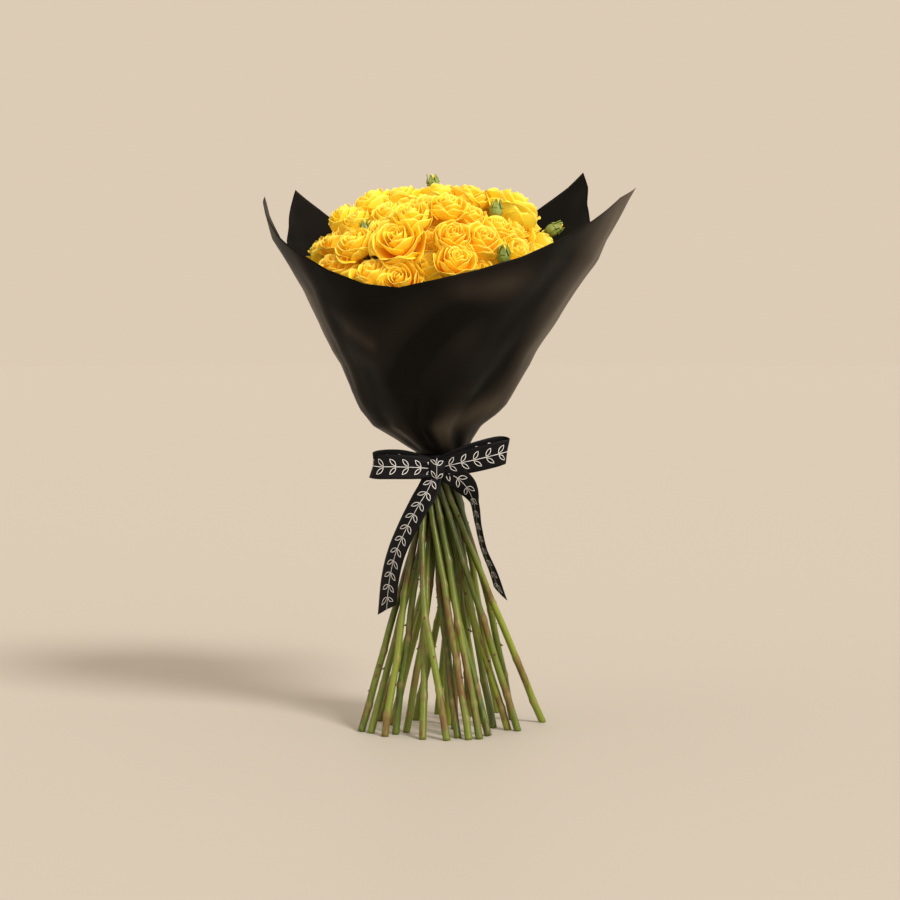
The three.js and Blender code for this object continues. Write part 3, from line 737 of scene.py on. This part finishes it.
def bloom(parts, centre, axis, radius, rng):
    """One rose: all its petals, layer by layer, with a tint and an openness of its own."""
    u, v = sides(axis)
    turn = rng.uniform(0, 6.28)
    flower_tint = rng.uniform(0.1, 1.0)
    open_by = rng.uniform(-0.10, 0.06)
    for layer, (count, *_) in enumerate(LAYERS):
        turn += 0.62 * 2 * math.pi / count
        for i in range(count):
            azimuth = turn + i * 2 * math.pi / count + rng.uniform(-0.2, 0.2)
            grid, values = petal_grid(layer, azimuth, rng, open_by)
            facing = grid[..., :1] * u + grid[..., 1:2] * v + grid[..., 2:] * axis
            placed = centre + DROP + BLOOM_SCALE * radius * facing
            values["tint"] = flower_tint + rng.uniform(-0.2, 0.2)
            thin(parts, inside_film(placed), PETAL_THICKNESS, **values)


for number, spray in enumerate(SPRAYS, 1):
    name = f"spray_{number:02d}"
    rng = random.Random(500 + number)
    parts = Parts()
    for head in spray:
        if not head.get("bud"):
            bloom(parts, head["centre"], head["axis"], head["radius"], rng)
    if name in bud_tips:
        tips = bud_tips[name]
        parts.add(tips.points[0], tips.faces[0], rim=0.8, depth=0.1, tint=0.6, u=0.5, v=0.5)
    made = parts.make(f"{name}_roses", PETAL)
    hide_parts(f"{name}_blooms")

# ------------------------------------------------------------------ twine
# Jute twine, wound tightly round the crossing of the stems before the film goes on. It keeps the form of its
# solid, and gets the fibres of a twisted twine.

twine = Shader("jute_twine")
fibres = twine.noise(500, 3, 0.6, stretch=(1, 1, 6))
twine.bump(fibres, 0.8, 0.5)
TWINE = twine.surface(Base_Color=twine.blend(fibres, (0.18, 0.12, 0.06), (0.42, 0.31, 0.17)), Roughness=0.9)
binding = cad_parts["binding_twine"]
binding.data.materials.clear()
binding.data.materials.append(TWINE)

# ------------------------------------------------------------------ film
# Two sheets of thin dark plastic film, wrapped round the bunch, the front one outside the back one, with the
# ribbon gathering them at the neck. Their cut edges are straight and meet in points. They have soft folds,
# and dents where hands pressed them. Highlights and shade are painted into their colour along the pleats,
# dents and crumples.

film = Shader("dark_film")
cloud = film.noise(9)
grain = film.noise(900, 2)
# Painted highlights and reflections: the near-black film is lightened where the attribute is high.
colour = film.blend(film.attribute("gleam"), (0.0010, 0.0007, 0.0005), (0.1300, 0.1020, 0.0740))
film.bump(film.plus(film.times(cloud, 2.0), film.times(grain, 0.12)), 0.35, 1.2)
FILM = film.surface(
    Base_Color=colour,
    Roughness=film.plus(0.34, film.times(cloud, 0.14)),
    Specular_IOR_Level=0.08,
)

# The sheets' upper edges: degrees round the neck from the front, and height.
FRONT_RIM = [
    [-130, 372], [-118, 425], [-108, 478], [-95, 533], [-80, 519], [-62, 483], [-46, 459], [-31, 446],
    [-15, 442.5], [0, 450], [15, 459], [30, 471], [46, 489], [61, 507], [75, 530], [88, 541],
    [98, 500], [108, 450], [120, 392],
]
BACK_RIM = [
    [75, 436], [88, 456], [98, 476], [108, 496], [120, 527], [129, 561], [140, 534], [151, 508],
    [162, 480], [174, 455], [185, 484], [196, 512], [207, 539], [219, 506], [230, 524], [242, 542],
    [252, 504], [265, 470], [280, 440],
]
NECK_EDGE = 252
SHEET_THICKNESS, SHEET_ROWS, BETWEEN_RIM_POINTS = 0.4, 84, 9
# Dents and ridges: [degrees and height of one end, of the other, width, how far it stands out].
FRONT_DENTS = [
    [-24, 352, 16, 424, 15, -3.4],
    [-34, 372, 8, 440, 20, 2.2],
    [20, 436, 34, 452, 14, 2.6],
    [-52, 418, -34, 404, 9, 1.8],
    [8, 300, 40, 330, 16, 2.4],
    [-30, 294, -16, 306, 9, 2.0],
    [-12, 288, -8, 330, 7, -2.2],
    [24, 292, 52, 380, 11, -2.0],
    [-66, 330, -58, 470, 8, 2.4],
    [60, 340, 78, 500, 12, 2.0],
    [38, 400, 60, 480, 14, -1.6],
]
# Painted highlights on the front sheet: [degrees and height of one end, of the other, width, how bright].
FRONT_PAINTED_LIGHT = [
    [12, 300, 58, 324, 13, 0.30],
    [-76, 293, -44, 300, 8, 0.24],
    [-48, 402, -36, 388, 7, 0.16],
    [14, 440, 32, 446, 12, 0.11],
    [-8, 372, 16, 398, 20, 0.05],
]
# Where the painted highlight strip along the front sheet's left side ends, by height.
PAINTED_STRIP_EDGE = [[300, -86], [340, -76], [379, -69], [400, -65], [432, -62], [460, -75], [489, -92]]
# How far the sheets stand out over the funnel on the right and on the left, by height.
BULGE_RIGHT = [
    [291, 0], [303, 2.5], [315, 9], [326, 12], [342, 10.5], [379, 8], [440, 8], [465, 5], [489, 0],
]
BULGE_LEFT = [[291, 0], [304, 2], [325, 3.5], [340, 4], [362, 2], [385, 0]]


def on_funnel(degrees, z, layer):
    """The funnel's middle and reach at each point of a sheet, and how far the sheet lies outside it."""
    mid_x, mid_y, width, deep = (look_up(FUNNEL, z, k) for k in (1, 2, 3, 4))
    opening = smooth(z, 285, 420)
    fold = 2.6 * opening * np.sin(np.radians(4 * degrees + 35))
    fold = fold + 1.4 * opening * np.sin(np.radians(7 * degrees + z))
    off = layer * (1.25 + 0.042 * (width - FUNNEL[0][3])) + fold
    off = off + look_up(BULGE_RIGHT, z) * smooth(degrees, 38, 78) * (1 - smooth(degrees, 112, 150))
    left = np.where(degrees > 180, degrees - 360, degrees)
    off = off + look_up(BULGE_LEFT, z) * smooth(-left, 45, 80) * (1 - smooth(-left, 105, 140))
    return mid_x, mid_y, width, deep, off


# The sheets' mean reach, which turns degrees round the neck into millimetres.
MEAN_REACH = 110


def near_line(deg, z, a, za, b, zb, reach):
    """How near each point of a sheet is to a line on it, and how far along."""
    scale = math.radians(1) * MEAN_REACH
    p = np.stack([deg * scale, z], axis=-1)
    q0, q1 = np.array([a * scale, za]), np.array([b * scale, zb])
    t = np.clip(((p - q0) @ (q1 - q0)) / ((q1 - q0) @ (q1 - q0)), 0, 1)
    away = np.linalg.norm(p - (q0 + t[..., None] * (q1 - q0)), axis=-1)
    return np.exp(-((away / reach) ** 2)), t


def crumpling(x, y, z, seed):
    """The slow unevenness of a sheet, as noise in space."""
    crumple = np.zeros(x.shape)
    for place in np.ndindex(x.shape):
        at = Vector((x[place] * 0.016 + seed, y[place] * 0.016, z[place] * 0.012))
        crumple[place] = noise.noise(at) + 0.4 * noise.noise(at * 2.7)
    return crumple


def painted_front_gleam(deg, z, gleam):
    """The front sheet's painted highlights, with painted light bands along its left and right sides."""
    for a, za, b, zb, reach, tone in FRONT_PAINTED_LIGHT:
        gleam = gleam + tone * near_line(deg, z, a, za, b, zb, reach)[0]
    # Painted highlight: a band along the left side, and a border of painted reflection on the right.
    painted_strip = smooth(look_up(PAINTED_STRIP_EDGE, z) - deg, -2, 14) * (1 - smooth(-deg, 84, 118)) * smooth(z, 292, 306)
    painted_border = 0.62 * smooth(deg, 44, 90) ** 1.6 * (1 - smooth(deg, 94, 116)) * smooth(z, 300, 330)
    return np.maximum(gleam + painted_border, 0.62 * painted_strip)


def sheet_grid(rim, layer, dents, seed):
    """A sheet as a grid of points, from its lower edge up to its rim, and the painted highlight of each
    point.
    """
    keys = np.array([r[0] for r in rim], float)
    spans = [np.linspace(a, b, BETWEEN_RIM_POINTS, endpoint=False) for a, b in zip(keys, keys[1:])]
    degrees = np.concatenate([*spans, keys[-1:]])
    top = look_up(rim, degrees)
    s = np.linspace(0, 1, SHEET_ROWS)[:, None] ** 1.15
    z = NECK_EDGE + (top[None, :] - NECK_EDGE) * s
    deg = degrees[None, :] + 0 * s
    mid_x, mid_y, width, deep, off = on_funnel(deg, z, layer)
    near_neck = np.exp(-(((z - 300) / 26) ** 2)) * smooth(z, 277, 287)
    pleats = np.sin(np.radians(deg * 8 + seed * 40))
    pleats = pleats + 0.6 * np.sin(np.radians(deg * 13.5 + seed * 90 + z * 0.5))
    off = off + 1.3 * near_neck * pleats
    # Painted highlights and shade along the pleats near the neck.
    gleam = 0.05 * near_neck * pleats
    for a, za, b, zb, reach, out in dents:
        near, t = near_line(deg, z, a, za, b, zb, reach)
        dent = out * near * smooth(z, 280, 300) * (0.6 + 0.4 * np.sin(math.pi * t))
        off = off + dent
        # Painted highlights on the ridges and painted shade in the dents.
        gleam = gleam + 0.03 * dent
    angle = np.radians(deg)
    x = mid_x + (width + off) * np.sin(angle)
    y = mid_y - (deep + off) * np.cos(angle)
    crumple = crumpling(x, y, z, seed)
    soft = 2.4 * crumple * smooth(z, 284, 330)
    x = x + soft * np.sin(angle)
    y = y - soft * np.cos(angle)
    # Painted highlights and shade following the crumpling.
    gleam = gleam + 0.035 * crumple
    if layer:
        gleam = painted_front_gleam(deg, z, gleam)
    return np.stack([x, y, z], axis=-1), np.clip(0.012 + gleam, 0, 1)


for name, node, rim_rows, layer, dents, seed in (
    ("back_sheet", "film_back", BACK_RIM, 0, [], 3),
    ("front_sheet", "film_front", FRONT_RIM, 1, FRONT_DENTS, 8),
):
    parts = Parts()
    grid, gleam = sheet_grid(rim_rows, layer, dents, seed)
    thin(parts, grid, SHEET_THICKNESS, gleam=gleam)
    made = parts.make(name, FILM)
    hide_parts(node)

# ------------------------------------------------------------------ ribbon
# One woven black ribbon with a running leaf sprig printed in white, tied round the film: a band at the neck,
# a knot, two loops and two tails. The sprig is drawn in millimetres along and across the ribbon.

RIBBON_WIDTH, RIBBON_THICKNESS = 25.0, 0.4
ribbon = Shader("sprig_ribbon")
uv = ribbon.node("ShaderNodeUVMap", uv_map="UVMap").outputs[0]
parts_uv = ribbon.node("ShaderNodeSeparateXYZ")
ribbon.put(parts_uv.inputs[0], uv)
along, across = parts_uv.outputs[0], parts_uv.outputs[1]
REPEAT, LEAF_LENGTH, LEAF_WIDTH = 12.6, 4.5, 1.75
LEAF_PLACE, LEAF_SLANT = (0.6, 4.3), math.radians(48)
LINE_INSIDE, LINE_OUTSIDE = 0.17, 0.36
repeats = ribbon.math("MODULO", ribbon.plus(along, 100 * REPEAT), REPEAT)
beside = ribbon.math("ABSOLUTE", across)
x = ribbon.minus(ribbon.minus(repeats, REPEAT / 2), LEAF_PLACE[0])
y = ribbon.minus(beside, LEAF_PLACE[1])
cosine, sine = math.cos(LEAF_SLANT), math.sin(LEAF_SLANT)
leaf_x = ribbon.plus(ribbon.times(x, cosine), ribbon.times(y, sine))
leaf_y = ribbon.minus(ribbon.times(y, cosine), ribbon.times(x, sine))
share = ribbon.math("DIVIDE", leaf_x, LEAF_LENGTH)
outline = ribbon.times(ribbon.minus(1.0, ribbon.times(share, share)), LEAF_WIDTH)
from_edge = ribbon.math("ABSOLUTE", ribbon.minus(ribbon.math("ABSOLUTE", leaf_y), outline))
on_leaf = ribbon.math("LESS_THAN", ribbon.math("ABSOLUTE", leaf_x), LEAF_LENGTH + 0.25)
leaf_line = ribbon.times(ribbon.minus(1.0, ribbon.ramp(from_edge, LINE_INSIDE, LINE_OUTSIDE)), on_leaf)
stem_line = ribbon.minus(1.0, ribbon.ramp(beside, LINE_INSIDE, LINE_OUTSIDE))
printed = ribbon.math("MAXIMUM", leaf_line, stem_line)
weft = ribbon.node("ShaderNodeTexWave", bands_direction="X")
ribbon.put(weft.inputs["Vector"], uv)
weft.inputs["Scale"].default_value = 1.4
rib = weft.outputs["Fac"]
selvage = ribbon.ramp(beside, RIBBON_WIDTH / 2 - 1.3, RIBBON_WIDTH / 2 - 0.9)
wear = ribbon.ramp(ribbon.noise(160, 3), 0.25, 0.6)
ground = ribbon.blend(rib, (0.0012, 0.0012, 0.0018), (0.0035, 0.0035, 0.0050))
ink = ribbon.times(printed, ribbon.plus(0.7, ribbon.times(wear, 0.3)))
ribbon.bump(ribbon.plus(ribbon.plus(rib, selvage), ribbon.times(printed, 0.6)), 0.3, 0.12)
RIBBON = ribbon.surface(
    Base_Color=ribbon.blend(ink, ground, (0.900, 0.900, 0.910)),
    Roughness=ribbon.plus(0.42, ribbon.times(rib, 0.14)),
    Specular_IOR_Level=0.12,
)

# Routes of the ribbon's middle line: place, and how far the ribbon leans about it in degrees.
LOOP_LEFT = [
    [-10, -31, 263, 0], [-30, -37, 265, 4], [-52, -40, 266, 6], [-69, -37, 266, 10], [-74, -31, 267, 12],
    [-68, -26, 269, 8], [-48, -27, 270, 0], [-28, -29, 267, 0], [-10, -29.5, 264, 0],
]
LOOP_RIGHT = [
    [-10, -31, 264, 0], [10, -37, 269, 4], [32, -40, 274, 6], [52, -38, 279, 8], [59, -32, 281, 10],
    [54, -26, 283, 6], [34, -28, 279, 0], [12, -30, 272, 0], [-10, -29.5, 264, 0],
]
TAIL_LEFT = [
    [-12, -30, 262, 0], [-18, -34, 244, 20], [-28.5, -39, 226, 35], [-41, -41, 202, 42],
    [-50.5, -39, 179, 45], [-56.5, -35, 153, 45], [-59.5, -32, 123, 45],
]
TAIL_RIGHT = [
    [-8, -31, 262, 0], [8, -35, 256, 8], [19.5, -36, 246, 30], [27, -36, 231, 70], [31, -36, 208, 76],
    [36.5, -37, 184, 76], [46, -38, 161, 72], [53, -38, 140, 70],
]
ROUTE_STEPS, ACROSS_STEPS = 72, 11


def centripetal(points, steps):
    """Points and tangents of a smooth curve through a route, with equal steps from row to row."""
    points = np.asarray(points, float)
    padded = np.concatenate([[2 * points[0] - points[1]], points, [2 * points[-1] - points[-2]]])
    out = []
    for t in np.linspace(0, len(points) - 1, steps):
        i = min(int(t), len(points) - 2)
        w = t - i
        p = padded[i : i + 4]
        d = [max(np.linalg.norm(p[k + 1] - p[k]) ** 0.5, 1e-4) for k in range(3)]
        m1 = ((p[1] - p[0]) / d[0] - (p[2] - p[0]) / (d[0] + d[1]) + (p[2] - p[1]) / d[1]) * d[1]
        m2 = ((p[2] - p[1]) / d[1] - (p[3] - p[1]) / (d[1] + d[2]) + (p[3] - p[2]) / d[2]) * d[1]
        a = 2 * p[1] - 2 * p[2] + m1 + m2
        b = -3 * p[1] + 3 * p[2] - 2 * m1 - m2
        out.append(a * w**3 + b * w**2 + m1 * w + p[1])
    out = np.array(out)
    return out, np.gradient(out, axis=0)


def turned(vector, axis, degrees):
    """A vector turned about an axis of length 1."""
    a = math.radians(degrees)
    kept = axis * (axis @ vector) * (1 - math.cos(a))
    return vector * math.cos(a) + np.cross(axis, vector) * math.sin(a) + kept


def ribbon_strip(parts, route, start, pinch, slant=0, hangs=False):
    """A length of ribbon on a route, pinched where it enters the knot. A free end is cut at a slant."""
    curve, tangent = centripetal([row[:3] for row in route], ROUTE_STEPS)
    rows = np.linspace(0, len(route) - 1, ROUTE_STEPS)
    lean = np.interp(rows, range(len(route)), [row[3] for row in route])
    run = np.concatenate([[0], np.cumsum(np.linalg.norm(np.diff(curve, axis=0), axis=1))])
    t = np.linspace(-0.5, 0.5, ACROSS_STEPS)
    grid = np.zeros((ACROSS_STEPS, ROUTE_STEPS, 3))
    for k in range(ROUTE_STEPS):
        forward = unit(tangent[k])
        if hangs:
            width = np.array([-forward[2], 0, forward[0]])
        else:
            width = np.array([0, 0, 1]) - forward * forward[2]
        width = turned(unit(width), forward, lean[k])
        face = np.cross(forward, width)
        held = max(pinch[0] * math.exp(-run[k] / 13), pinch[1] * math.exp(-(run[-1] - run[k]) / 13))
        narrow = 1 - 0.42 * held
        gathers = 1.9 * held * np.sin(t * 19)
        bow = 0.6 * (1 - held) * (1 - (2 * t) ** 2)
        shift = slant * t * smooth(run[k], run[-1] - 20, run[-1])
        grid[:, k] = curve[k] + np.outer(t * RIBBON_WIDTH * narrow, width) + np.outer(gathers + bow, face)
        grid[:, k] += np.outer(shift, forward)
    thin(parts, grid, RIBBON_THICKNESS, u=start + run, v=(t * RIBBON_WIDTH)[:, None])


bow_parts = Parts()
ribbon_strip(bow_parts, LOOP_LEFT, 0, pinch=(1, 1))
ribbon_strip(bow_parts, LOOP_RIGHT, 3, pinch=(1, 1))
ribbon_strip(bow_parts, TAIL_LEFT, 5, pinch=(1, 0), slant=-16, hangs=True)
ribbon_strip(bow_parts, TAIL_RIGHT, 8, pinch=(1, 0), slant=14, hangs=True)

# The band round the neck, with two soft creases, and the knot: a short length pulled tight over the middle.
BAND_RADIUS = 25.5
KNOT_MIDDLE = (-10, -30.6, 263)
angle = np.linspace(0, 2 * math.pi, 97)[None, :]
t = np.linspace(-0.5, 0.5, 15)[:, None]
crease = 0.5 * np.sin(t * 14 + 2 * np.sin(angle)) * smooth(np.cos(angle + math.pi / 2), -0.6, 0.4)
reach = BAND_RADIUS + crease
height = TIE[2] + t * RIBBON_WIDTH * 0.98 + 0 * angle
band = np.stack([TIE[0] + reach * np.cos(angle), TIE[1] + reach * np.sin(angle), height], axis=-1)
thin(bow_parts, band, RIBBON_THICKNESS, u=angle * BAND_RADIUS, v=t * RIBBON_WIDTH)

theta = np.linspace(-1.9, 1.9, 31)[None, :]
w = np.linspace(-1, 1, 17)[:, None]
waist = 1 - 0.16 * np.cos(theta) ** 2
bulge = (1 - 0.28 * w**2) * (1 + 0.06 * np.sin(7 * w + 1.2 * theta) + 0.04 * np.sin(13 * w - theta))
knot = np.stack(
    [
        KNOT_MIDDLE[0] + 9.4 * w * waist,
        KNOT_MIDDLE[1] - 5.6 * np.cos(theta) * bulge,
        KNOT_MIDDLE[2] + (10.6 - 1.2 * w**2) * np.sin(theta) * (0.9 + 0.1 * bulge),
    ],
    axis=-1,
)
thin(bow_parts, knot, 0.5, u=theta * 9 + 2 * w, v=w * 11)
bow = bow_parts.make("sprig_bow", RIBBON)
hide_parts("ribbon_bow")

# ------------------------------------------------------------------ floor, light and camera
# A pale floor under a backdrop of the same tone, a warm soft key light from the front right, and three weak
# ones that lift the shadows. The camera stands in front and looks slightly down.

floor_shader = Shader("pale_floor")
FLOOR = floor_shader.surface(Base_Color=(0.522, 0.497, 0.460), Roughness=0.6)
floor_mesh = bpy.data.meshes.new("floor")
FAR = 12.0
floor_mesh.from_pydata([(-FAR, -FAR, 0), (FAR, -FAR, 0), (FAR, FAR, 0), (-FAR, FAR, 0)], [], [(0, 1, 2, 3)])
floor_mesh.materials.append(FLOOR)
floor = bpy.data.objects.new("floor", floor_mesh)
bpy.context.scene.collection.objects.link(floor)

world = bpy.data.worlds.new("studio")
world.use_nodes = True
background = next(n for n in world.node_tree.nodes if n.type == "BACKGROUND")
background.inputs["Color"].default_value = (0.80, 0.665, 0.515, 1)
background.inputs["Strength"].default_value = 0.9
bpy.context.scene.world = world

LIT_POINT = Vector((0, 0, 0.35))
# Lights: where each shines from, its power, its colour, and its width in degrees.
for name, place, power, colour, width in (
    ("key", (1.3, -1.6, 2.2), 2.5, (1.0, 0.93, 0.83), 16),
    ("fill", (-2.0, -1.2, 1.1), 0.3, (1.0, 0.96, 0.9), 45),
    ("side", (2.2, -0.7, 0.6), 0.7, (1.0, 0.93, 0.84), 40),
    ("front", (1.1, -2.0, 1.3), 0.5, (1.0, 0.95, 0.88), 35),
):
    lamp = bpy.data.lights.new(name, "SUN")
    lamp.energy = power
    lamp.color = colour
    lamp.angle = math.radians(width)
    holder = bpy.data.objects.new(name, lamp)
    holder.location = place
    holder.rotation_euler = (LIT_POINT - Vector(place)).to_track_quat("-Z", "Y").to_euler()
    bpy.context.scene.collection.objects.link(holder)

camera_data = bpy.data.cameras.new("camera")
camera_data.lens = 100
camera_data.sensor_width = 36
camera = bpy.data.objects.new("camera", camera_data)
CAMERA_PLACE, LOOKS_DOWN = (0.003, -2.5, 0.441), 3.685
camera.location = CAMERA_PLACE
camera.rotation_euler = (math.radians(90 - LOOKS_DOWN), 0, 0)
bpy.context.scene.collection.objects.link(camera)
bpy.context.scene.camera = camera
bpy.context.scene.view_settings.view_transform = "Standard"
